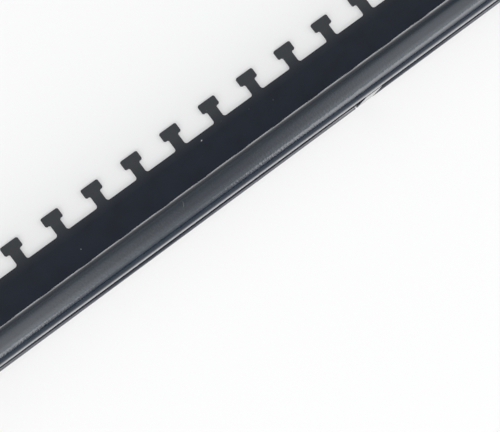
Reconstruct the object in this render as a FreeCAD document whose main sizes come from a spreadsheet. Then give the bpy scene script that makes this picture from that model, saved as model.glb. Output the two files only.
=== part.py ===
"""Horizontal cable manager for a 19-inch rack, one unit high.

A folded sheet tray carries a row of T-shaped tie tabs along its rear edge.
A round bar spans the tray above its front edge, so that cords tied to the
tabs leave to the front between tray and bar.  The bar hangs between two
brackets with rack ears, and a post folded up from the tray holds its middle.

Frame: X along the rack's width, Y towards the tabs (rear), Z up.  The origin
is the middle of the footprint, on the plane that the tray rests on.
"""
import FreeCAD, Part
import math
import os
from types import SimpleNamespace

import Sketcher

DIMENSIONS = [
    # rack interface
    ("panel_height", 43.65, "height of a one-unit ear"),
    ("base_lift", 0.4, "ear above the plane that the tray rests on"),
    ("ear_width", 21.3, "ear outside the cheek"),
    ("slot_inset", 8.75, "slot middle from the outer edge of its ear"),
    ("slot_spacing_up", 31.75, "outer rack holes of one unit"),
    ("slot_width", 6.8, "width of a rack slot"),
    ("slot_length", 10.3, "end-to-end length of a rack slot"),
    ("ear_corner", 2.5, "corner radius of an ear"),
    # brackets
    ("bracket_sheet", 2.0, "bracket sheet thickness"),
    ("bracket_bend", 1.0, "inside radius of the bracket bend"),
    ("body_span", 440.0, "width over both bracket cheeks"),
    ("ear_forward", 3.0, "ear face ahead of the tray edge"),
    ("cheek_shoulder", 9.0, "full-height cheek behind the bar axis"),
    ("cheek_low_height", 15.5, "height of the low rear part of a cheek"),
    ("cheek_slope_run", 7.5, "depth of the sloping edge of a cheek"),
    ("cheek_round", 4.0, "radius of the bends in a cheek's outline"),
    # tray
    ("tray_sheet", 1.2, "tray sheet thickness"),
    ("tray_bend", 1.0, "inside radius of the tray bends"),
    ("tray_depth", 30.4, "front edge to the foot of the tabs"),
    ("hem_gap", 0.3, "gap inside the closed front hem"),
    ("hem_length", 5.5, "depth of the hem from the front edge"),
    ("flange_height", 14.0, "height of the end flanges"),
    ("flange_front", 5.5, "end flange behind the tray edge"),
    ("flange_rear", 1.0, "end flange ahead of the foot of the tabs"),
    ("flange_chamfer", 1.5, "chamfer of the flange corners"),
    # tie tabs
    ("tab_pitch", 20.0, "tab to tab"),
    ("tab_margin", 1.0, "least space beside the last tab"),
    ("neck_width", 4.8, "width of a tab's neck"),
    ("neck_length", 5.7, "length of a tab's neck"),
    ("head_width", 8.6, "width of a tab's head"),
    ("head_length", 4.3, "length of a tab's head"),
    ("head_chamfer", 0.5, "chamfer of the head corners"),
    ("neck_chamfer", 0.5, "chamfer between neck and head"),
    ("root_round", 1.2, "radius at the foot of the neck"),
    # bar and post
    ("bar_diameter", 12.2, "a 12 mm tube with its powder coat"),
    ("bar_wall", 1.2, "wall of the bar"),
    ("bar_gap", 22.0, "clear height between tray and bar"),
    ("post_width", 8.0, "width of the centre post"),
    ("post_offset", 4.0, "post beside the middle, clear of the tab ties"),
    ("post_relief", 0.6, "cut beside the foot of the post"),
    ("foot_overhang", 4.5, "post foot behind the bar axis"),
    ("foot_chamfer", 1.5, "corner chamfer of the post foot"),
    # fasteners
    ("play", 0.05, "room between a shank and its bore, on the radius"),
    ("hole_play", 0.4, "extra diameter of a clearance hole"),
    ("small_screw", 3.0, "thread diameter of the tray and post screws"),
    ("small_screw_length", 6.0, "length of the tray and post screws"),
    ("small_head", 5.6, "head diameter of the small screws"),
    ("small_head_height", 1.8, "head height of the small screws"),
    ("bar_screw", 4.0, "thread diameter of the bar screws"),
    ("bar_screw_length", 12.0, "length of the bar screws"),
    ("bar_head", 8.0, "head diameter of the bar screws"),
    ("bar_head_height", 2.3, "head height of the bar screws"),
    ("washer_diameter", 9.0, "outside diameter of the washers"),
    ("washer_sheet", 0.8, "thickness of the washers"),
    ("plug_flange", 1.0, "flange of a bar plug"),
    ("plug_length", 12.0, "body of a bar plug inside the bar"),
    ("nut_flats", 5.5, "hexagon nuts, across the flats"),
    ("nut_height", 2.4, "height of the hexagon nuts"),
    ("screw_height", 8.0, "tray screws above the resting plane"),
    ("screw_inset", 5.5, "tray screws from the flange ends"),
    ("rivet_flange", 6.5, "flange diameter of the rivet nut"),
    ("rivet_flange_sheet", 0.6, "flange thickness of the rivet nut"),
    ("rivet_shank", 5.0, "shank diameter of the rivet nut"),
    ("rivet_length", 7.0, "rivet nut above its flange"),
    ("spot_depth", 0.5, "depth of the flat that seats the rivet nut"),
]


class Size:
    """A length that knows its value and the expression that makes it."""

    def __init__(self, value, text):
        self.value = float(value)
        self.text = text

    @staticmethod
    def of(other):
        return other if isinstance(other, Size) else Size(other, repr(float(other)))

    def combine(self, other, sign, value):
        return Size(value, f"({self.text} {sign} {Size.of(other).text})")

    def __add__(self, other):
        return self.combine(other, "+", self.value + Size.of(other).value)

    def __sub__(self, other):
        return self.combine(other, "-", self.value - Size.of(other).value)

    def __mul__(self, other):
        return self.combine(other, "*", self.value * Size.of(other).value)

    def __truediv__(self, other):
        return self.combine(other, "/", self.value / Size.of(other).value)

    def __radd__(self, other):
        return Size.of(other) + self

    def __rsub__(self, other):
        return Size.of(other) - self

    def __rmul__(self, other):
        return Size.of(other) * self

    def __neg__(self):
        return Size(-self.value, f"(0 - {self.text})")

    def floor(self):
        return Size(math.floor(self.value), f"floor({self.text})")


def make_sheet(doc):
    """Writes the driving dimensions to a spreadsheet and returns them by name."""
    sheet = doc.addObject("Spreadsheet::Sheet", "Dimensions")
    sizes = SimpleNamespace()
    for row, (alias, value, note) in enumerate(DIMENSIONS, start=1):
        sheet.set(f"A{row}", note)
        sheet.set(f"B{row}", str(value))
        sheet.setAlias(f"B{row}", alias)
        setattr(sizes, alias, Size(value, f"Dimensions.{alias}"))
    doc.recompute()
    return sizes


# --- sketch helpers ---------------------------------------------------------

def bind(item, path, size):
    """Ties a property of an object to the spreadsheet."""
    item.setExpression(path, size.text)


def sketch_on(body, role, name, offset=None):
    """A sketch on one of the body's own planes, moved along its normal."""
    sketch = body.newObject("Sketcher::SketchObject", name)
    plane = next(f for f in body.Origin.OriginFeatures if f.Role == role)
    sketch.AttachmentSupport = [(plane, "")]
    sketch.MapMode = "FlatFace"
    if offset is not None:
        bind(sketch, ".AttachmentOffset.Base.z", offset)
    return sketch


def fix(sketch, kind, geometry, point, size):
    """Sets one coordinate of a sketch point from the origin."""
    size = Size.of(size)
    if abs(size.value) < 1e-9:
        axis = -2 if kind == "DistanceX" else -1
        sketch.addConstraint(Sketcher.Constraint("PointOnObject", geometry, point, axis))
        return
    index = sketch.addConstraint(
        Sketcher.Constraint(kind, -1, 1, geometry, point, size.value))
    bind(sketch, f"Constraints[{index}]", size)


def along(corner, direction, factor, radius):
    """The point at factor times radius from a corner, along a direction."""
    point = []
    for coordinate, step in zip(corner, direction):
        share = round(step * factor, 12)
        point.append(coordinate + radius * share if share else coordinate)
    return tuple(point)


def values(point):
    return FreeCAD.Vector(Size.of(point[0]).value, Size.of(point[1]).value, 0)


def outline(sketch, corners):
    """Draws a closed outline through corners given as (x, y) or (x, y, radius)."""
    pieces = []
    count = len(corners)
    places = [values(corner) for corner in corners]
    for index, corner in enumerate(corners):
        if len(corner) == 2:
            pieces.append((corner, corner, None, 0.0))
            continue
        before = (places[index] - places[index - 1]).normalize()
        after = (places[(index + 1) % count] - places[index]).normalize()
        turn = math.atan2(before.x * after.y - before.y * after.x, before.dot(after))
        radius = corner[2]
        reach = math.tan(abs(turn) / 2)
        begin = along(corner[:2], before, -reach, radius)
        end = along(corner[:2], after, reach, radius)
        side = math.copysign(1, turn)
        centre = along(begin, (-before.y, before.x), side, radius)
        pieces.append((begin, end, centre, turn))

    ends = []
    for index, (begin, end, centre, turn) in enumerate(pieces):
        if centre is not None:
            ends.append(draw_arc(sketch, begin, end, centre, turn))
        following = pieces[(index + 1) % count][0]
        if (values(end) - values(following)).Length > 1e-6:
            line = sketch.addGeometry(Part.LineSegment(values(end), values(following)))
            ends.append((line, 1, 2, following))

    for index, (geometry, _, last, place) in enumerate(ends):
        following, first = ends[(index + 1) % len(ends)][:2]
        sketch.addConstraint(
            Sketcher.Constraint("Coincident", geometry, last, following, first))
        fix(sketch, "DistanceX", geometry, last, place[0])
        fix(sketch, "DistanceY", geometry, last, place[1])


def draw_arc(sketch, begin, end, centre, turn):
    """Adds an arc and fixes its centre across its chord."""
    middle = values(centre)
    start = values(begin) - middle
    stop = values(end) - middle
    circle = Part.Circle(middle, FreeCAD.Vector(0, 0, 1), start.Length)
    low, high = (start, stop) if turn > 0 else (stop, start)
    angles = [math.atan2(point.y, point.x) for point in (low, high)]
    if angles[1] < angles[0]:
        angles[1] += 2 * math.pi
    arc = sketch.addGeometry(Part.ArcOfCircle(circle, *angles))
    chord = stop - start
    if abs(chord.y) >= abs(chord.x):
        fix(sketch, "DistanceX", arc, 3, centre[0])
    else:
        fix(sketch, "DistanceY", arc, 3, centre[1])
    first, last = (1, 2) if turn > 0 else (2, 1)
    return arc, first, last, end


def circle(sketch, across, up, diameter):
    """Adds a circle with its centre and diameter bound to the sheet."""
    centre = values((across, up))
    diameter = Size.of(diameter)
    round_line = Part.Circle(centre, FreeCAD.Vector(0, 0, 1), diameter.value / 2)
    geometry = sketch.addGeometry(round_line)
    index = sketch.addConstraint(
        Sketcher.Constraint("Diameter", geometry, diameter.value))
    bind(sketch, f"Constraints[{index}]", diameter)
    fix(sketch, "DistanceX", geometry, 3, across)
    fix(sketch, "DistanceY", geometry, 3, up)


# --- feature helpers --------------------------------------------------------

def new_body(doc, label):
    body = doc.addObject("PartDesign::Body", label)
    body.Label = label
    return body


def pad(body, sketch, name, length):
    feature = body.newObject("PartDesign::Pad", name)
    feature.Profile = sketch
    bind(feature, "Length", length)
    return feature


def cut_through(body, sketch, name):
    """Cuts a sketch through everything, both ways along its normal."""
    feature = body.newObject("PartDesign::Pocket", name)
    feature.Profile = sketch
    feature.Type = "ThroughAll"
    feature.Midplane = True
    return feature


def cut(body, sketch, name, depth):
    """Cuts a sketch to a depth, against its normal."""
    feature = body.newObject("PartDesign::Pocket", name)
    feature.Profile = sketch
    bind(feature, "Length", depth)
    return feature


def turn_profile(body, name, corners):
    """A body of revolution about Z; corners are (radius, height)."""
    sketch = sketch_on(body, "XZ_Plane", f"{name}Profile")
    outline(sketch, corners)
    feature = body.newObject("PartDesign::Revolution", name)
    feature.Profile = sketch
    feature.ReferenceAxis = (sketch, ["V_Axis"])
    feature.Angle = 360.0
    return feature


def dress_edges(body, feature, name, kind, size, chosen):
    """Fillets or chamfers the edges of a feature that the test chooses."""
    body.Document.recompute()
    names = [f"Edge{index}" for index, edge in enumerate(feature.Shape.Edges, start=1)
             if chosen(edge)]
    dressed = body.newObject(f"PartDesign::{kind}", name)
    dressed.Base = (feature, names)
    bind(dressed, "Radius" if kind == "Fillet" else "Size", size)
    return dressed


def runs_along(edge, axis):
    """True for a straight edge parallel to the axis."""
    if edge.Curve.TypeId != "Part::GeomLine":
        return False
    return abs(edge.Curve.Direction.dot(axis)) > 0.999


def near(number, size):
    return abs(number - size.value) < 1e-3


AXIS_Y = FreeCAD.Vector(0, 1, 0)
AXIS_X = FreeCAD.Vector(1, 0, 0)
AXIS_Z = FreeCAD.Vector(0, 0, 1)


def place(body, across, back, up, rotation=None):
    """Puts a body at a bound position, turned as given."""
    if rotation is not None:
        body.Placement = FreeCAD.Placement(FreeCAD.Vector(), rotation)
    for letter, size in zip("xyz", (across, back, up)):
        bind(body, f".Placement.Base.{letter}", Size.of(size))


# --- places that several pieces share ----------------------------------------

def layout(d):
    """Works out the shared planes and axes from the driving dimensions."""
    tab_length = d.neck_length + d.head_length
    depth = d.ear_forward + d.tray_depth + tab_length
    p = SimpleNamespace()
    p.ear_face = -(depth / 2)
    p.tray_edge = p.ear_face + d.ear_forward
    p.tab_root = p.tray_edge + d.tray_depth
    p.cheek_outer = d.body_span / 2
    p.cheek_inner = p.cheek_outer - d.bracket_sheet
    p.bar_back = p.tray_edge + d.bar_diameter / 2
    p.bar_up = d.tray_sheet + d.bar_gap + d.bar_diameter / 2
    p.bar_length = 2 * p.cheek_inner - 2 * d.plug_flange
    p.tray_bend_outer = d.tray_bend + d.tray_sheet
    p.flat_half = p.cheek_inner - p.tray_bend_outer
    p.flange_start = p.tray_edge + d.flange_front
    p.flange_end = p.tab_root - d.flange_rear
    p.screw_rows = {
        "front": p.flange_start + d.screw_inset,
        "rear": p.flange_end - d.screw_inset,
    }
    p.spot_up = p.bar_up - d.bar_diameter / 2 + d.spot_depth
    p.foot_top = p.spot_up - d.rivet_flange_sheet
    free = 2 * p.flat_half - 2 * d.tab_margin - d.head_width
    p.tab_steps = (free / d.tab_pitch).floor()
    p.first_tab = -(d.tab_pitch * p.tab_steps / 2)
    return p


# --- the tray -----------------------------------------------------------------

def build_tray(doc, d, p):
    """The folded sheet: plate, hem, tabs, end flanges and centre post."""
    body = new_body(doc, "tray")
    hem_height = 2 * d.tray_sheet + d.hem_gap
    hem_nose = hem_height / 2
    lap = d.tray_sheet

    sketch = sketch_on(body, "XY_Plane", "PlateOutline")
    plate_front = p.tray_edge + hem_nose
    outline(sketch, [
        (-p.flat_half, plate_front), (p.flat_half, plate_front),
        (p.flat_half, p.tab_root), (-p.flat_half, p.tab_root)])
    pad(body, sketch, "Plate", d.tray_sheet)

    sketch = sketch_on(body, "YZ_Plane", "HemProfile", -p.flat_half)
    outline(sketch, [
        (plate_front + lap, Size.of(0)),
        (p.tray_edge, Size.of(0), hem_nose),
        (p.tray_edge, hem_height, hem_nose),
        (p.tray_edge + d.hem_length, hem_height),
        (p.tray_edge + d.hem_length, hem_height - d.tray_sheet),
        (p.tray_edge + d.tray_sheet, hem_height - d.tray_sheet),
        (p.tray_edge + d.tray_sheet, d.tray_sheet),
        (plate_front + lap, d.tray_sheet)])
    pad(body, sketch, "Hem", 2 * p.flat_half)

    sketch = sketch_on(body, "XY_Plane", "PostRelief")
    relief_half = d.post_width / 2 + d.post_relief
    relief_back = p.tray_edge + p.tray_bend_outer + d.post_relief / 2
    outline(sketch, [
        (d.post_offset - relief_half, p.tray_edge - lap),
        (d.post_offset + relief_half, p.tray_edge - lap),
        (d.post_offset + relief_half, relief_back),
        (d.post_offset - relief_half, relief_back)])
    cut_through(body, sketch, "Relief")
    sketch = sketch_on(body, "XY_Plane", "PostHemClearance")
    outline(sketch, [
        (d.post_offset - relief_half, p.tray_edge - lap),
        (d.post_offset + relief_half, p.tray_edge - lap),
        (d.post_offset + relief_half, p.tray_edge + d.hem_length + lap),
        (d.post_offset - relief_half, p.tray_edge + d.hem_length + lap)])
    bind(sketch, ".AttachmentOffset.Base.z", hem_height + lap)
    cut(body, sketch, "HemClearance", d.tray_sheet + d.hem_gap + lap)

    add_post(body, d, p, relief_back)
    add_flange(body, d, p, lap)
    add_tabs(body, d, p, lap)
    drill_tray(body, d, p)
    return body


def add_post(body, d, p, relief_back):
    """The post folds up at the front edge and back under the bar."""
    sketch = sketch_on(body, "YZ_Plane", "PostProfile", d.post_offset - d.post_width / 2)
    foot_end = p.bar_back + d.foot_overhang
    inner = p.tray_edge + d.tray_sheet
    outline(sketch, [
        (relief_back + d.tray_sheet, Size.of(0)),
        (p.tray_edge, Size.of(0), p.tray_bend_outer),
        (p.tray_edge, p.foot_top, p.tray_bend_outer),
        (foot_end, p.foot_top),
        (foot_end, p.foot_top - d.tray_sheet),
        (inner, p.foot_top - d.tray_sheet, d.tray_bend),
        (inner, d.tray_sheet, d.tray_bend),
        (relief_back + d.tray_sheet, d.tray_sheet)])
    post = pad(body, sketch, "Post", d.post_width)
    dress_edges(
        body, post, "FootCorners", "Chamfer", d.foot_chamfer,
        lambda edge: runs_along(edge, AXIS_Z)
        and near(edge.CenterOfMass.y, foot_end)
        and edge.CenterOfMass.z > p.foot_top.value / 2)


def add_flange(body, d, p, lap):
    """An end flange on the right, and its mirror image on the left."""
    sketch = sketch_on(body, "XZ_Plane", "FlangeProfile", -p.flange_end)
    inner = p.cheek_inner - d.tray_sheet
    outline(sketch, [
        (p.flat_half - lap, Size.of(0)),
        (p.cheek_inner, Size.of(0), p.tray_bend_outer),
        (p.cheek_inner, d.flange_height),
        (inner, d.flange_height),
        (inner, d.tray_sheet, d.tray_bend),
        (p.flat_half - lap, d.tray_sheet)])
    flange = pad(body, sketch, "Flange", p.flange_end - p.flange_start)
    mirrored = body.newObject("PartDesign::Mirrored", "FlangePair")
    mirrored.Originals = [flange]
    plane = next(f for f in body.Origin.OriginFeatures if f.Role == "YZ_Plane")
    mirrored.MirrorPlane = (plane, [""])
    body.Tip = mirrored
    dress_edges(
        body, mirrored, "FlangeCorners", "Chamfer", d.flange_chamfer,
        lambda edge: runs_along(edge, AXIS_X)
        and near(edge.CenterOfMass.z, d.flange_height)
        and abs(edge.CenterOfMass.x) > p.flat_half.value)


def add_tabs(body, d, p, lap):
    """The row of T-shaped tabs along the rear edge."""
    under = p.tab_root + d.neck_length
    end = under + d.head_length
    neck, head = d.neck_width / 2, d.head_width / 2
    half = []
    for side in (-1, 1):
        edge = [
            (p.first_tab + side * (neck + d.root_round + lap / 4), p.tab_root - lap),
            (p.first_tab + side * (neck + d.root_round + lap / 4), p.tab_root),
            (p.first_tab + side * neck, p.tab_root, d.root_round),
            (p.first_tab + side * neck, under - d.neck_chamfer),
            (p.first_tab + side * (neck + d.neck_chamfer), under),
            (p.first_tab + side * (head - d.head_chamfer), under),
            (p.first_tab + side * head, under + d.head_chamfer),
            (p.first_tab + side * head, end - d.head_chamfer),
            (p.first_tab + side * (head - d.head_chamfer), end)]
        half.append(edge)
    sketch = sketch_on(body, "XY_Plane", "TabOutline")
    outline(sketch, half[1] + half[0][::-1])
    tab = pad(body, sketch, "Tab", d.tray_sheet)
    row = body.newObject("PartDesign::LinearPattern", "TabRow")
    row.Originals = [tab]
    row.Direction = (sketch, ["H_Axis"])
    bind(row, "Length", d.tab_pitch * p.tab_steps)
    bind(row, "Occurrences", p.tab_steps + 1)
    body.Tip = row


def drill_tray(body, d, p):
    """Holes for the screws in both flanges and in the foot of the post."""
    sketch = sketch_on(body, "YZ_Plane", "FlangeHoles")
    for back in p.screw_rows.values():
        circle(sketch, back, d.screw_height, d.small_screw + d.hole_play)
    cut_through(body, sketch, "FlangeHoleCut")
    sketch = sketch_on(body, "XY_Plane", "PostHole", p.foot_top + d.tray_sheet)
    circle(sketch, d.post_offset, p.bar_back, d.small_screw + d.hole_play)
    cut(body, sketch, "PostHoleCut", 3 * d.tray_sheet)


# --- the bar --------------------------------------------------------------------

def build_bar(doc, d, p):
    """A round tube with a seat for the rivet nut in its underside."""
    body = new_body(doc, "front_bar")
    sketch = sketch_on(body, "YZ_Plane", "TubeSection", -(p.bar_length / 2))
    circle(sketch, p.bar_back, p.bar_up, d.bar_diameter)
    circle(sketch, p.bar_back, p.bar_up, d.bar_diameter - 2 * d.bar_wall)
    pad(body, sketch, "Tube", p.bar_length)

    sketch = sketch_on(body, "XY_Plane", "RivetSeat", p.spot_up)
    circle(sketch, d.post_offset, p.bar_back, d.rivet_flange + d.hole_play)
    cut(body, sketch, "RivetSeatCut", 2 * d.spot_depth)
    sketch = sketch_on(body, "XY_Plane", "RivetHole", p.bar_up)
    circle(sketch, d.post_offset, p.bar_back, d.rivet_shank + 2 * d.play)
    cut(body, sketch, "RivetHoleCut", d.bar_diameter)
    return body


def build_bar_plug(doc, label, side, d, p):
    """A turned, threaded plug pressed into one end of the bar."""
    body = new_body(doc, label)
    bore = d.bar_screw / 2 + d.play
    outer = d.bar_diameter / 2 - d.bar_wall - d.play
    turn_profile(body, "Plug", [
        (bore, Size.of(0)),
        (d.bar_diameter / 2, Size.of(0)),
        (d.bar_diameter / 2, d.plug_flange),
        (outer, d.plug_flange),
        (outer, d.plug_flange + d.plug_length),
        (bore, d.plug_flange + d.plug_length)])
    place(body, side * p.cheek_inner, p.bar_back, p.bar_up, inward(side))
    return body


# --- brackets ----------------------------------------------------------------------

def build_bracket(doc, label, side, d, p):
    """A folded bracket: cheek, rack ear and the slots for the rack screws."""
    body = new_body(doc, label)
    outer = side * p.cheek_outer
    ear_end = outer + side * d.ear_width
    inner = side * p.cheek_inner
    ear_back = p.ear_face + d.bracket_sheet
    top = d.base_lift + d.panel_height

    sketch = sketch_on(body, "XY_Plane", "Section", d.base_lift)
    outline(sketch, [
        (inner, p.ear_face, d.bracket_bend + d.bracket_sheet),
        (ear_end, p.ear_face),
        (ear_end, ear_back),
        (outer, ear_back, d.bracket_bend),
        (outer, p.flange_end),
        (inner, p.flange_end)])
    section = pad(body, sketch, "Fold", d.panel_height)
    dress_edges(
        body, section, "EarCorners", "Fillet", d.ear_corner,
        lambda edge: runs_along(edge, AXIS_Y) and near(edge.CenterOfMass.x, ear_end))

    sketch = sketch_on(body, "YZ_Plane", "CheekCut")
    shoulder = p.bar_back + d.cheek_shoulder
    slope_end = shoulder + d.cheek_slope_run
    beyond = p.flange_end + d.bracket_sheet
    outline(sketch, [
        (shoulder, top + d.bracket_sheet),
        (shoulder, top),
        (slope_end, d.cheek_low_height, d.cheek_round),
        (beyond, d.cheek_low_height),
        (beyond, top + d.bracket_sheet)])
    cheek = cut_through(body, sketch, "CheekOutline")
    rear_top = dress_edges(
        body, cheek, "CheekRearCorners", "Chamfer", d.flange_chamfer,
        lambda edge: runs_along(edge, AXIS_X) and near(edge.CenterOfMass.y, p.flange_end))
    dress_edges(
        body, rear_top, "CheekShoulder", "Fillet", d.cheek_round,
        lambda edge: runs_along(edge, AXIS_X) and near(edge.CenterOfMass.y, shoulder)
        and near(edge.CenterOfMass.z, top))

    sketch = sketch_on(body, "XZ_Plane", "RackSlots")
    middle = d.base_lift + d.panel_height / 2
    for step in (-1, 1):
        slot(sketch, ear_end - side * d.slot_inset,
             middle + step * d.slot_spacing_up / 2, d.slot_length, d.slot_width)
    cut_through(body, sketch, "RackSlotCut")

    sketch = sketch_on(body, "YZ_Plane", "CheekHoles")
    circle(sketch, p.bar_back, p.bar_up, d.bar_screw + d.hole_play)
    for back in p.screw_rows.values():
        circle(sketch, back, d.screw_height, d.small_screw + d.hole_play)
    cut_through(body, sketch, "CheekHoleCut")
    return body


def slot(sketch, across, up, length, width):
    """An oblong hole that lies along the sketch's first axis."""
    half = length / 2
    high = width / 2
    outline(sketch, [
        (across - half, up - high, high), (across + half, up - high, high),
        (across + half, up + high, high), (across - half, up + high, high)])


# --- fasteners ----------------------------------------------------------------------

def inward(side):
    """Turns a body's +Z to point at the middle of the bar from one end."""
    return FreeCAD.Rotation(AXIS_Z, FreeCAD.Vector(-side, 0, 0))


def build_screw(doc, label, thread, length, head, head_height, d):
    """A pan-head screw without its thread and recess; its shank runs along +Z from 0."""
    body = new_body(doc, label)
    shank = thread / 2 - d.play
    draft = head_height / 4
    turn_profile(body, "Screw", [
        (Size.of(0), -head_height),
        (head / 2 - draft, -head_height),
        (head / 2, Size.of(0)),
        (shank, Size.of(0)),
        (shank, length),
        (Size.of(0), length)])
    return body


def build_washer(doc, label, side, d, p):
    body = new_body(doc, label)
    turn_profile(body, "Washer", [
        (d.bar_screw / 2 + d.hole_play / 2, Size.of(0)),
        (d.washer_diameter / 2, Size.of(0)),
        (d.washer_diameter / 2, d.washer_sheet),
        (d.bar_screw / 2 + d.hole_play / 2, d.washer_sheet)])
    place(body, side * (p.cheek_outer + d.washer_sheet), p.bar_back, p.bar_up, inward(side))
    return body


def build_nut(doc, label, side, back, d, p):
    """A hexagon nut against the inside of an end flange."""
    body = new_body(doc, label)
    sketch = sketch_on(body, "XY_Plane", "Hexagon")
    flat = d.nut_flats / 2
    point = d.nut_flats / math.sqrt(3)
    outline(sketch, [
        (point / 2, flat), (-point / 2, flat), (-point, Size.of(0)),
        (-point / 2, -flat), (point / 2, -flat), (point, Size.of(0))])
    circle(sketch, Size.of(0), Size.of(0), d.small_screw + 2 * d.play)
    pad(body, sketch, "Nut", d.nut_height)
    place(body, side * (p.cheek_inner - d.tray_sheet), back, d.screw_height, inward(side))
    return body


def build_rivet_nut(doc, label, d, p):
    """A blind rivet nut, set in the underside of the bar."""
    body = new_body(doc, label)
    bore = d.small_screw / 2 + d.play
    shank = d.rivet_shank / 2
    turn_profile(body, "RivetNut", [
        (bore, Size.of(0)),
        (d.rivet_flange / 2, Size.of(0)),
        (d.rivet_flange / 2, d.rivet_flange_sheet),
        (shank, d.rivet_flange_sheet),
        (shank, d.rivet_flange_sheet + d.rivet_length),
        (bore, d.rivet_flange_sheet + d.rivet_length)])
    place(body, d.post_offset, p.bar_back, p.foot_top)
    return body


def build_fasteners(doc, d, p):
    """All screws, washers, nuts and plugs, by side and row."""
    bodies = []
    for name, side in (("left", -1), ("right", 1)):
        bodies.append(build_bar_plug(doc, f"{name}_bar_plug", side, d, p))
        bodies.append(build_washer(doc, f"{name}_bar_washer", side, d, p))
        screw = build_screw(doc, f"{name}_bar_screw", d.bar_screw, d.bar_screw_length,
                            d.bar_head, d.bar_head_height, d)
        place(screw, side * (p.cheek_outer + d.washer_sheet), p.bar_back, p.bar_up,
              inward(side))
        bodies.append(screw)
        for row, back in p.screw_rows.items():
            nut = build_nut(doc, f"{name}_{row}_nut", side, back, d, p)
            screw = build_screw(doc, f"{name}_{row}_tray_screw", d.small_screw,
                                d.small_screw_length, d.small_head,
                                d.small_head_height, d)
            place(screw, side * p.cheek_outer, back, d.screw_height, inward(side))
            bodies += [nut, screw]
    bodies.append(build_rivet_nut(doc, "post_rivet_nut", d, p))
    screw = build_screw(doc, "post_screw", d.small_screw, d.small_screw_length,
                        d.small_head, d.small_head_height, d)
    place(screw, d.post_offset, p.bar_back, p.foot_top - d.tray_sheet)
    bodies.append(screw)
    return bodies


# --- the whole manager ----------------------------------------------------------------

def build_all(doc):
    d = make_sheet(doc)
    p = layout(d)
    bodies = [build_tray(doc, d, p), build_bar(doc, d, p)]
    bodies.append(build_bracket(doc, "left_bracket", -1, d, p))
    bodies.append(build_bracket(doc, "right_bracket", 1, d, p))
    return bodies + build_fasteners(doc, d, p)


def check(doc, bodies):
    """Stops on any failed object or on a sub-part that isn't one valid solid."""
    failed = [item.Name for item in doc.Objects
              if "Invalid" in item.State or "Error" in item.State]
    if failed:
        raise RuntimeError(f"failed objects: {failed}")
    for body in bodies:
        shape = body.Shape
        if shape.isNull() or not shape.isValid() or len(shape.Solids) != 1:
            raise RuntimeError(f"{body.Label} isn't one valid solid")


def main():
    doc = FreeCAD.newDocument("cable_manager")
    bodies = build_all(doc)
    doc.recompute()
    check(doc, bodies)
    os.makedirs("parts", exist_ok=True)
    for body in bodies:
        body.Shape.exportStep(f"parts/{body.Label}.step")
        print(f"{body.Label}: {body.Shape.Volume:.1f} mm3")


main()
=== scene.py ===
import math

import bpy
from mathutils import Matrix, Vector


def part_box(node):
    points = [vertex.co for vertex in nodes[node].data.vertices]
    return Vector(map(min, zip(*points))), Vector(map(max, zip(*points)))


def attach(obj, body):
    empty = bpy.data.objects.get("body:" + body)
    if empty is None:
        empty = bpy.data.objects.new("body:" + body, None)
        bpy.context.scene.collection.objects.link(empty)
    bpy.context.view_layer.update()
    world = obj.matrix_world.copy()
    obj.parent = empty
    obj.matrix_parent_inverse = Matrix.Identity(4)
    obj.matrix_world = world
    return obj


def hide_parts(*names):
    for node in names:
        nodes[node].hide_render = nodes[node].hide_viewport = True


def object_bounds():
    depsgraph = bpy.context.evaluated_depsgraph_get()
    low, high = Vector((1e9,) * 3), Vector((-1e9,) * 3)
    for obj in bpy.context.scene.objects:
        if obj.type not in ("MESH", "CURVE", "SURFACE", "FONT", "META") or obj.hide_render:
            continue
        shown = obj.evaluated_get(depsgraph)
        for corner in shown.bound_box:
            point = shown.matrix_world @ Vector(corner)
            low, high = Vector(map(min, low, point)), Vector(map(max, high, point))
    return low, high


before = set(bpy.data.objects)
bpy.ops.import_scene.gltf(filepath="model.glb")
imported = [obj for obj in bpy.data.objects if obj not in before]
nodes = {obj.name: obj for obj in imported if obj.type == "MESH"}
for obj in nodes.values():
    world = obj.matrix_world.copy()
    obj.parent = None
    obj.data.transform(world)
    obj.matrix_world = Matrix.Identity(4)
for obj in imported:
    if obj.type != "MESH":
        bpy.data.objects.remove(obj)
cad_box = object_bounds()
MM = 0.001


# ---------------------------------------------------------------- node helpers

def new_material(name):
    """A material with an empty tree but for its output and one Principled shader."""
    material = bpy.data.materials.new(name)
    material.use_nodes = True
    tree = material.node_tree
    tree.nodes.clear()
    output = tree.nodes.new("ShaderNodeOutputMaterial")
    shader = tree.nodes.new("ShaderNodeBsdfPrincipled")
    tree.links.new(shader.outputs["BSDF"], output.inputs["Surface"])
    return material, tree, shader


def own_coordinates(tree):
    """The object's own coordinates in metres, which are those of the CAD frame."""
    return tree.nodes.new("ShaderNodeTexCoord").outputs["Object"]


def separate(tree, vector):
    """The X, Y and Z of a vector."""
    node = tree.nodes.new("ShaderNodeSeparateXYZ")
    tree.links.new(vector, node.inputs["Vector"])
    return node.outputs


def calculate(tree, operation, *values):
    """One step of arithmetic with sockets or plain numbers."""
    node = tree.nodes.new("ShaderNodeMath")
    node.operation = operation
    for value, socket in zip(values, node.inputs):
        if isinstance(value, (int, float)):
            socket.default_value = value
        else:
            tree.links.new(value, socket)
    return node.outputs["Value"]


def noise(tree, vector, size, detail=2.0, roughness=0.5):
    """A noise whose lumps are about `size` metres across."""
    node = tree.nodes.new("ShaderNodeTexNoise")
    node.inputs["Scale"].default_value = 1 / size
    node.inputs["Detail"].default_value = detail
    node.inputs["Roughness"].default_value = roughness
    tree.links.new(vector, node.inputs["Vector"])
    return node.outputs["Fac"]


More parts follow.
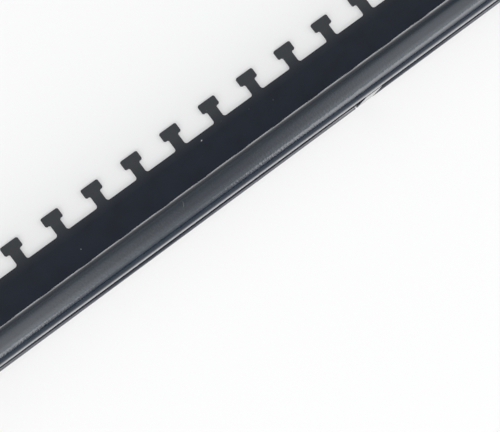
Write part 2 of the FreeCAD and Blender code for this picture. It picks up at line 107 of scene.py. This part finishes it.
def ramp(tree, fac, *stops):
    """A colour ramp through (position, colour or grey) stops."""
    node = tree.nodes.new("ShaderNodeValToRGB")
    elements = node.color_ramp.elements
    while len(elements) < len(stops):
        elements.new(0.5)
    for element, (position, colour) in zip(elements, stops):
        element.position = position
        element.color = (*colour, 1) if isinstance(colour, tuple) else (colour,) * 3 + (1,)
    tree.links.new(fac, node.inputs["Fac"])
    return node.outputs["Color"]


def span(tree, fac, low, high, out_low, out_high):
    """Maps one range of a value onto another."""
    node = tree.nodes.new("ShaderNodeMapRange")
    for name, value in (("From Min", low), ("From Max", high), ("To Min", out_low), ("To Max", out_high)):
        node.inputs[name].default_value = value
    tree.links.new(fac, node.inputs["Value"])
    return node.outputs["Result"]


def blend(tree, fac, a, b):
    """Mixes two colours, sockets or plain ones, by a value."""
    node = tree.nodes.new("ShaderNodeMix")
    node.data_type = "RGBA"
    tree.links.new(fac, node.inputs["Factor"])
    for socket, value in ((node.inputs["A"], a), (node.inputs["B"], b)):
        if isinstance(value, tuple):
            socket.default_value = (*value, 1)
        else:
            tree.links.new(value, socket)
    return node.outputs["Result"]


def bump(tree, shader, *layers):
    """Stacks (height, distance in metres) layers of bump onto a shader and its clear skin."""
    normal = None
    for height, distance in layers:
        node = tree.nodes.new("ShaderNodeBump")
        node.inputs["Strength"].default_value = 1.0
        node.inputs["Distance"].default_value = distance
        tree.links.new(height, node.inputs["Height"])
        if normal:
            tree.links.new(normal, node.inputs["Normal"])
        normal = node.outputs["Normal"]
    tree.links.new(normal, shader.inputs["Normal"])
    tree.links.new(normal, shader.inputs["Coat Normal"])


# ------------------------------------------------------------------- materials

SHADE_SIZE = 9         # mm, between a darker and a lighter place of a powder coat
DUST_SPACING = 7       # mm, between specks of dust
DUST_PATCH_SIZE = 30   # mm, across a patch that has dust
DUST_COLOUR = (0.14, 0.145, 0.15)
PEEL_SIZE = 0.8        # mm, across a lump of orange peel
GRAIN_SIZE = 0.35      # mm, across a grain of a powder coat
MARK_REACH = 4         # mm, that a mark reaches up and down from its spot


def mark(tree, spot, turn, length, width):
    """1 on a small oval mark that lies flat at a spot, 0 elsewhere; sizes in mm, turn in degrees."""
    mapping = tree.nodes.new("ShaderNodeMapping")
    mapping.vector_type = "TEXTURE"
    mapping.inputs["Location"].default_value = [c * MM for c in spot]
    mapping.inputs["Rotation"].default_value = (0, 0, math.radians(turn))
    mapping.inputs["Scale"].default_value = (length * MM / 2, width * MM / 2, MARK_REACH * MM)
    tree.links.new(own_coordinates(tree), mapping.inputs["Vector"])
    reach = tree.nodes.new("ShaderNodeVectorMath")
    reach.operation = "LENGTH"
    tree.links.new(mapping.outputs["Vector"], reach.inputs[0])
    return span(tree, reach.outputs["Value"], 0.6, 1.0, 1.0, 0.0)


def set_index(tree, socket, index):
    """Sets a refractive index: one number, or (slant, index) stops between 1 and 3.

    Slant is 0 square on and 1 along the surface.  The middle stop is also the socket's own number.
    """
    if isinstance(index, tuple):
        lowest, highest = 1, 3
        facing = tree.nodes.new("ShaderNodeLayerWeight").outputs["Facing"]
        stops = ((slant, (value - lowest) / (highest - lowest)) for slant, value in index)
        tree.links.new(span(tree, ramp(tree, facing, *stops), 0, 1, lowest, highest), socket)
        index = index[len(index) // 2][1]
    socket.default_value = index


def powder_coat(name, *, dark, light, rough, gloss, peel, skin_rough, skin_gloss,
                marks=(), painted_light=None, polished=None):
    """Black powder coat: orange peel, slight changes of shade, pale dust, and the marks given.

    `rough` and `gloss` are the roughness and the refractive index of the coat, and `skin_rough`
    and `skin_gloss` those of its clear skin.  `peel` is the depth of the orange peel.
    `painted_light` is the depths between which the coat is painted paler, as painted light,
    and that paler colour.  `polished` is the depths between which cords that rub the coat leave
    its skin bright.  Lengths are in mm.
    """
    material, tree, shader = new_material(name)
    where = own_coordinates(tree)
    depth = separate(tree, where)["Y"]

    colour = ramp(tree, noise(tree, where, SHADE_SIZE * MM, 3), (0.35, dark), (0.65, light))
    # Painted light: between two depths the coat's colour is painted paler, as if more brightly lit.
    if painted_light:
        start, stop, pale = painted_light
        colour = blend(tree, span(tree, depth, start * MM, stop * MM, 0, 1), colour, pale)
    specks = tree.nodes.new("ShaderNodeTexVoronoi")
    specks.inputs["Scale"].default_value = 1 / (DUST_SPACING * MM)
    tree.links.new(where, specks.inputs["Vector"])
    dust = span(tree, specks.outputs["Distance"], 0.02, 0.045, 1, 0)
    patches = span(tree, noise(tree, where, DUST_PATCH_SIZE * MM, 1), 0.52, 0.6, 0, 0.55)
    colour = blend(tree, calculate(tree, "MULTIPLY", dust, patches), colour, DUST_COLOUR)
    for spot, turn, length, width, pale in marks:
        colour = blend(tree, mark(tree, spot, turn, length, width), colour, (pale, pale, pale))
    tree.links.new(colour, shader.inputs["Base Color"])

    grain = noise(tree, where, GRAIN_SIZE * MM, 2, 0.6)
    tree.links.new(span(tree, grain, 0.3, 0.7, rough - 0.05, rough + 0.05), shader.inputs["Roughness"])
    set_index(tree, shader.inputs["IOR"], gloss)
    shader.inputs["Coat Weight"].default_value = 1.0
    shader.inputs["Coat Roughness"].default_value = skin_rough
    set_index(tree, shader.inputs["Coat IOR"], skin_gloss)
    if polished:
        start, stop = polished
        tree.links.new(span(tree, depth, start * MM, stop * MM, 0, 1), shader.inputs["Coat Weight"])
    bump(tree, shader, (noise(tree, where, PEEL_SIZE * MM, 1.5), peel * MM), (grain, 0.25 * peel * MM))
    return material


def bare_metal(name, dark, light, rough, metallic):
    """Plated or blackened steel with a mottled finish."""
    material, tree, shader = new_material(name)
    where = own_coordinates(tree)
    mottle = noise(tree, where, 1.6 * MM, 4, 0.6)
    tree.links.new(ramp(tree, mottle, (0.35, dark), (0.7, light)), shader.inputs["Base Color"])
    grain = noise(tree, where, 0.2 * MM, 3, 0.7)
    tree.links.new(span(tree, grain, 0.3, 0.7, rough - 0.07, rough + 0.08), shader.inputs["Roughness"])
    shader.inputs["Metallic"].default_value = metallic
    bump(tree, shader, (grain, 0.006 * MM), (mottle, 0.01 * MM))
    return material


tray_low, tray_high = (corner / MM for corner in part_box("tray"))
sheet_finish = dict(dark=(0.002, 0.005, 0.013), light=(0.004, 0.009, 0.019), rough=0.45, gloss=1.38, peel=0.03)
sheet_coat = powder_coat("sheet_coat", skin_rough=0.2, skin_gloss=1.24, **sheet_finish)
tray_coat = powder_coat(
    "tray_coat", skin_rough=0.12, skin_gloss=((0.07, 1.1), (0.17, 1.8), (0.6, 2.2), (0.8, 2.6)),
    marks=[((-61.4, 9.0, 1.2), 20, 0.8, 0.4, 0.6), ((-128, 2.0, 1.2), 70, 0.5, 0.3, 0.35)],
    # Painted light: the tray's coat is painted paler from 13.7 mm to 5.7 mm short of its rear edge, and stays
    # paler on the tabs behind that.
    painted_light=(tray_high.y - 13.7, tray_high.y - 5.7, (0.033, 0.036, 0.040)),
    polished=(tray_low.y + 2.2, tray_low.y + 1.3), **sheet_finish)
bar_coat = powder_coat(
    "bar_coat", dark=(0.003, 0.009, 0.018), light=(0.005, 0.012, 0.022), rough=0.17,
    gloss=((0.17, 1.8), (0.3, 1.4), (0.48, 1.37), (0.6, 1.5)), peel=0.045,
    skin_rough=0.11, skin_gloss=((0.18, 1.42), (0.3, 1.03), (0.5, 1.08), (0.62, 2.0), (0.75, 3.0)),
    marks=[((-86, -10.7, 35), 62, 3.2, 0.25, 0.10), ((-14, -16.5, 33), 25, 1.6, 0.2, 0.06)])
finish_of = {
    "sheet_paint": sheet_coat,
    "bar_paint": bar_coat,
    "zinc_steel": bare_metal("zinc", (0.50, 0.51, 0.52), (0.66, 0.66, 0.65), 0.32, 1.0),
    "black_steel": bare_metal("blackened", (0.020, 0.020, 0.022), (0.038, 0.037, 0.038), 0.36, 0.35),
}

for node in nodes.values():
    for place in node.material_slots:
        place.material = finish_of[place.material.name.split(".")[0]]
nodes["tray"].material_slots[0].material = tray_coat


# -------------------------------------------------------------- softened edges

def break_edges(piece, width, angle):
    """Bevels the edges of a piece that are sharper than an angle in degrees; width in mm."""
    edge = piece.modifiers.new("edge", "BEVEL")
    edge.width = width * MM
    edge.segments = 2
    edge.limit_method = "ANGLE"
    edge.angle_limit = math.radians(angle)
    edge.harden_normals = True


def soften(node, width):
    """Rounds a CAD node's crisp edges by the thickness of its coat, with modifiers only."""
    weld = node.modifiers.new("weld", "WELD")
    weld.merge_threshold = 0.002 * MM
    flat = node.modifiers.new("flat", "DECIMATE")
    flat.decimate_type = "DISSOLVE"
    flat.angle_limit = math.radians(0.4)
    break_edges(node, width, 35)


for name in ("tray", "left_bracket", "right_bracket"):
    soften(nodes[name], 0.15)
for name in ("left_bar_washer", "right_bar_washer", "left_bar_plug", "right_bar_plug", "post_rivet_nut"):
    soften(nodes[name], 0.1)


# ------------------------------------------------------------------- fasteners

SMALL_SCREW = (3.0, 1.8, 0.5)   # mm: diameter of the thread, height of the head, pitch
BAR_SCREW = (4.0, 2.3, 0.7)
NUT_BORE = 1.55                 # mm, radius
CREASE = 38                     # degrees, from which an edge of a fastener is sharp


def make_object(name, corners, faces):
    """A linked mesh object from corners in mm."""
    mesh = bpy.data.meshes.new(name)
    mesh.from_pydata([[c * MM for c in corner] for corner in corners], [], faces)
    made = bpy.data.objects.new(name, mesh)
    bpy.context.collection.objects.link(made)
    return made


def lathe(name, profile, sides=48, thread=None):
    """Turns (radius, height) points in mm about Z into a closed solid.

    The profile begins and ends on the axis.  A thread is (start, stop, pitch, depth): between
    those heights the radius falls and rises along a helix.
    """
    corners = [(0, 0, profile[0][1])]
    for radius, height in profile[1:-1]:
        for k in range(sides):
            depth = 0
            if thread and thread[0] < height < thread[1]:
                depth = thread[3] * abs(2 * ((height / thread[2] - k / sides) % 1) - 1)
            angle = 2 * math.pi * k / sides
            corners.append(((radius - depth) * math.cos(angle), (radius - depth) * math.sin(angle), height))
    corners.append((0, 0, profile[-1][1]))
    last = len(corners) - 1
    faces = []
    for k in range(sides):
        after = (k + 1) % sides
        faces.append((0, 1 + after, 1 + k))
        for ring in range(1, last - sides, sides):
            faces.append((ring + k, ring + after, ring + sides + after, ring + sides + k))
        faces.append((last, last - sides + k, last - sides + after))
    return make_object(name, corners, faces)


def carve(target, operation, *tools):
    """Cuts the tools from the target, or keeps what it shares with them, and removes the tools."""
    for tool in tools:
        step = target.modifiers.new("carve", "BOOLEAN")
        step.operation = operation
        step.object = tool
    bpy.context.view_layer.update()
    shape = target.evaluated_get(bpy.context.evaluated_depsgraph_get())
    mesh = bpy.data.meshes.new_from_object(shape)
    target.modifiers.clear()
    target.data = mesh
    for tool in tools:
        bpy.data.objects.remove(tool)


def finish_piece(piece, node, slot, edge):
    """Smooths a piece, breaks its edges and lets it stand for a CAD node."""
    piece.data.shade_smooth()
    break_edges(piece, edge, CREASE)
    piece.data.set_sharp_from_angle(angle=math.radians(CREASE))
    piece.data.materials.clear()
    piece.data.materials.append(finish_of[slot])
    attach(piece, "root")
    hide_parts(node)


def recess_wing(turn, span_mm, width, top, bottom):
    """One tapered wing of a cross recess, as a wedge along the screw's axis."""
    corners = []
    for height, share in ((top, 1.0), (bottom, 0.45)):
        for x, y in ((-1, -1), (1, -1), (1, 1), (-1, 1)):
            across, side = x * span_mm / 2 * share, y * width / 2 * (0.5 + share / 2)
            corners.append((across * math.cos(turn) - side * math.sin(turn),
                            across * math.sin(turn) + side * math.cos(turn), height))
    faces = [(3, 2, 1, 0), (4, 5, 6, 7), (0, 1, 5, 4), (1, 2, 6, 5), (2, 3, 7, 6), (3, 0, 4, 7)]
    return make_object("wing", corners, faces)


def pan_head_screw(node, turn):
    """A pan-head screw with a cross recess and a cut thread, in the place of a CAD screw."""
    low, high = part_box(node)
    size = (high - low) / MM
    along = max(range(3), key=lambda axis: size[axis])
    head = size[(along + 1) % 3] / 2
    thread, tall, pitch = BAR_SCREW if node.endswith("bar_screw") else SMALL_SCREW
    shank = size[along] - tall

    steps = 12
    crown = [(head * math.sin(a) ** 0.62, -tall * math.cos(a) ** 0.62)
             for a in (math.pi / 2 * k / steps for k in range(1, steps))]
    core = thread / 2 - 0.05
    rings_per_turn = 6
    count = int((shank - 0.8) / pitch * rings_per_turn)
    turns = [(core, 0.3 + pitch / rings_per_turn * k) for k in range(count)]
    profile = [(0, -tall), *crown, (head, -0.12), (head - 0.12, 0), (core, 0), *turns,
               (core, shank - 0.4), (core - 0.4, shank), (0, shank)]
    piece = lathe(f"{node}_shown", profile, 48, (0.3, shank - 0.5, pitch, 0.3 * pitch))

    wing_size = (head, 0.27 * head, -tall - 0.05, -0.32 * tall)
    carve(piece, "DIFFERENCE", recess_wing(turn, *wing_size), recess_wing(turn + math.pi / 2, *wing_size))

    middle = (low + high) / 2
    inwards = Vector((0, 0, 1))
    if along == 0:
        inwards = Vector((-math.copysign(1, middle.x), 0, 0))
    outer = middle - inwards * (high - low)[along] / 2
    facing = inwards.to_track_quat("Z", "Y").to_matrix().to_4x4()
    piece.matrix_world = Matrix.Translation(outer + inwards * tall * MM) @ facing
    finish_piece(piece, node, "black_steel", 0.05)


def hexagon_nut(node):
    """A hexagon nut with its corners turned down on both faces, in the place of a CAD nut."""
    low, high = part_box(node)
    flats, tall = (high.y - low.y) / MM, (high.x - low.x) / MM
    point, rise = flats / math.sqrt(3), tall / 2
    ring = [(point * math.sin(k * math.pi / 3), point * math.cos(k * math.pi / 3)) for k in range(6)]
    corners = [(x, y, height) for height in (-rise, rise) for x, y in ring]
    faces = [tuple(range(6)), tuple(range(11, 5, -1))]
    faces += [(k, k + 6, (k + 1) % 6 + 6, (k + 1) % 6) for k in range(6)]
    piece = make_object(f"{node}_shown", corners, faces)

    worn, past = 0.47 * flats, point + 0.05
    turned = [(0, -rise), (worn, -rise), (past, -rise + 0.45), (past, rise - 0.45), (worn, rise), (0, rise)]
    carve(piece, "INTERSECT", lathe("turned", turned, 72))
    sink = NUT_BORE + 0.45
    bore = [(0, -rise - 0.1), (sink, -rise - 0.1), (NUT_BORE, -rise + 0.25), (NUT_BORE, rise - 0.25),
            (sink, rise + 0.1), (0, rise + 0.1)]
    carve(piece, "DIFFERENCE", lathe("bore", bore))

    piece.matrix_world = Matrix.Translation((low + high) / 2) @ Matrix.Rotation(math.pi / 2, 4, "Y")
    finish_piece(piece, node, "zinc_steel", 0.04)


for index, name in enumerate(sorted(nodes)):
    if name.endswith("_screw"):
        pan_head_screw(name, 0.4 + 0.9 * index)
    elif name.endswith("_nut") and not name.startswith("post"):
        hexagon_nut(name)


# ----------------------------------------------------- floor, light and camera

FLOOR_HALF = 8.0     # m
FLOOR_DROP = 0.05    # mm, below the plane that the manager rests on
FLOOR_GLOW = 0.35    # share of plain white in what the camera and reflections see of the floor

SOFTBOXES = {
    # name: (direction from the object, distance, width and height in m, power in W)
    "key_left": ((-0.42, -0.79, 0.42), 4.8, 2.84, 2.64, 46.8),
    "key_middle": ((0.04, -0.87, 0.47), 4.86, 2.1, 2.64, 7.2),
    "key_right": ((0.46, -0.77, 0.41), 4.8, 3.14, 2.64, 51.2),
    "side_left": ((-0.80, -0.42, 0.45), 6.0, 3.8, 3.8, 264.0),
    "side_right": ((0.84, -0.38, 0.45), 6.0, 3.8, 3.8, 168.0),
}


def make_floor():
    """A wide pale table, paler to the camera and in reflections, that keeps the object's shadow."""
    half = FLOOR_HALF
    mesh = bpy.data.meshes.new("floor")
    mesh.from_pydata([(-half, -half, 0), (half, -half, 0), (half, half, 0), (-half, half, 0)], [], [(0, 1, 2, 3)])
    floor = bpy.data.objects.new("floor", mesh)
    bpy.context.collection.objects.link(floor)
    floor.location.z = cad_box[0].z - FLOOR_DROP * MM

    material, tree, shader = new_material("floor_white")
    shader.inputs["Base Color"].default_value = (0.78, 0.77, 0.76, 1)
    shader.inputs["Roughness"].default_value = 1.0
    shader.inputs["Specular IOR Level"].default_value = 0.0
    rays = tree.nodes.new("ShaderNodeLightPath").outputs
    mirrored = calculate(tree, "MAXIMUM", rays["Is Glossy Ray"], rays["Is Transmission Ray"])
    seen = calculate(tree, "MAXIMUM", rays["Is Camera Ray"], mirrored)
    glow = tree.nodes.new("ShaderNodeEmission")
    glow.inputs["Strength"].default_value = 1.0
    mix = tree.nodes.new("ShaderNodeMixShader")
    tree.links.new(calculate(tree, "MULTIPLY", seen, FLOOR_GLOW), mix.inputs["Fac"])
    tree.links.new(shader.outputs["BSDF"], mix.inputs[1])
    tree.links.new(glow.outputs["Emission"], mix.inputs[2])
    output = next(n for n in tree.nodes if n.type == "OUTPUT_MATERIAL")
    tree.links.new(mix.outputs["Shader"], output.inputs["Surface"])
    mesh.materials.append(material)


def light_room():
    """A dim room in front, a pale wall behind and a bright ceiling with a darker middle."""
    world = bpy.data.worlds.new("room")
    bpy.context.scene.world = world
    world.use_nodes = True
    tree = world.node_tree
    tree.nodes.clear()
    output = tree.nodes.new("ShaderNodeOutputWorld")
    sky = tree.nodes.new("ShaderNodeBackground")
    direction = separate(tree, tree.nodes.new("ShaderNodeTexCoord").outputs["Generated"])
    right, back, up = direction["X"], direction["Y"], direction["Z"]

    front = ramp(tree, up, (0.0, (0.12, 0.125, 0.13)), (0.12, (0.09, 0.095, 0.10)),
                 (0.32, (0.13, 0.14, 0.15)), (0.55, (0.36, 0.38, 0.41)), (0.78, (0.80, 0.84, 0.88)),
                 (1.0, (1.0, 1.0, 1.0)))
    wall = ramp(tree, up, (0.0, (0.90, 0.93, 0.96)), (0.12, (0.85, 0.88, 0.92)),
                (0.3, (0.50, 0.53, 0.56)), (0.5, (0.34, 0.36, 0.38)), (0.78, (0.76, 0.80, 0.84)),
                (1.0, (1.0, 1.0, 1.0)))
    tree.links.new(blend(tree, span(tree, back, -0.1, 0.3, 0, 1), front, wall), sky.inputs["Color"])

    beside = calculate(tree, "ABSOLUTE", calculate(tree, "SUBTRACT", right, 0.11))
    ceiling = ramp(tree, beside, (0.0, 0.32), (0.25, 0.9), (0.5, 0.55), (1.0, 0.3))
    level = tree.nodes.new("ShaderNodeMix")
    level.inputs["A"].default_value = 1.0
    tree.links.new(span(tree, up, 0.35, 0.75, 0, 1), level.inputs["Factor"])
    over = calculate(tree, "MULTIPLY", ceiling, span(tree, back, -0.65, -0.15, 2.3, 1.28))
    tree.links.new(over, level.inputs["B"])
    tree.links.new(level.outputs["Result"], sky.inputs["Strength"])
    tree.links.new(sky.outputs["Background"], output.inputs["Surface"])


def hang_softbox(name, towards, distance, wide, tall, power):
    """A rectangular softbox that looks at the middle of the object from the direction `towards`."""
    data = bpy.data.lights.new(name, "AREA")
    data.shape = "RECTANGLE"
    data.size, data.size_y = wide, tall
    data.energy = power
    lamp = bpy.data.objects.new(name, data)
    bpy.context.collection.objects.link(lamp)
    towards = Vector(towards).normalized()
    lamp.location = (cad_box[0] + cad_box[1]) / 2 + towards * distance
    lamp.rotation_euler = (-towards).to_track_quat("-Z", "Y").to_euler()


def set_camera():
    """Close above the left half of the manager, leaning a little to the front, turned as the photograph is."""
    camera = bpy.data.objects.new("camera", bpy.data.cameras.new("camera"))
    camera.data.sensor_width = 36
    camera.data.lens = 69.3
    camera.data.clip_start = 0.01
    place = Vector((-113.4, -40.3, 398.1)) * MM
    yaw, pitch, roll = -0.1235, 0.0299, -0.6431
    turn = Matrix.Rotation(yaw, 4, "Y") @ Matrix.Rotation(pitch, 4, "X") @ Matrix.Rotation(roll, 4, "Z")
    camera.matrix_world = Matrix.Translation(place) @ turn
    bpy.context.collection.objects.link(camera)
    bpy.context.scene.camera = camera


make_floor()
light_room()
for name, softbox in SOFTBOXES.items():
    hang_softbox(name, *softbox)
set_camera()
bpy.context.scene.view_settings.view_transform = "Standard"
